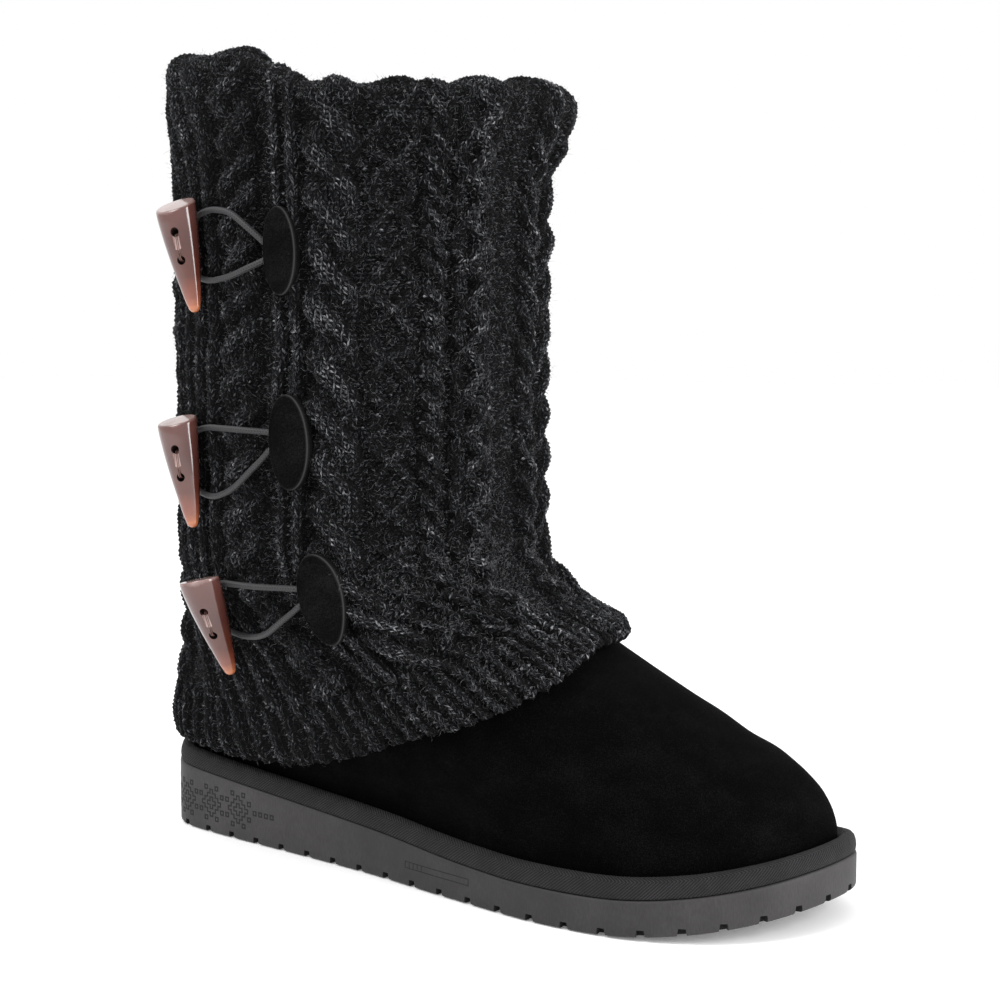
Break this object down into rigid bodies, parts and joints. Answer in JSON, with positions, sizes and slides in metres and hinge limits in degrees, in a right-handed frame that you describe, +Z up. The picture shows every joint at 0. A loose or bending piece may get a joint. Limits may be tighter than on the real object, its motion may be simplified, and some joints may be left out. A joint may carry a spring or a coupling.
{
  "type": "mukluk boot",
  "caption": "Pull-on winter boot with a suede foot, a cabled knit shaft cover, horn toggles on elastic loops and a wedge sole.",
  "frame": {"origin": "on the floor under the middle of the heel, at the heel's flat rest", "axes": "+X towards the toe, +Y towards the inner (medial) side of the foot, +Z up"},
  "size_m": [0.2783, 0.1427, 0.2942],
  "materials": {
    "moulded_eva": "fine moulded grain, matte",
    "ribbed_tape": "herringbone ribs, matte",
    "pile_footbed": "short pile",
    "black_suede": "napped suede",
    "charcoal_knit": "chunky heathered cable knit",
    "horn_resin": "polished, amber towards the tip",
    "elastic_cord": "braided, slight sheen"
  },
  "bodies": {
    "root": {"outsole": "moulded_eva", "foxing_band": "ribbed_tape", "insole": "pile_footbed", "suede_upper": "black_suede", "knit_cover": "charcoal_knit", "toggle_1": "horn_resin", "toggle_2": "horn_resin", "toggle_3": "horn_resin", "elastic_loop_1": "elastic_cord", "elastic_loop_2": "elastic_cord", "elastic_loop_3": "elastic_cord", "loop_patch_1": "black_suede", "loop_patch_2": "black_suede", "loop_patch_3": "black_suede"}
  },
  "joints": []
}
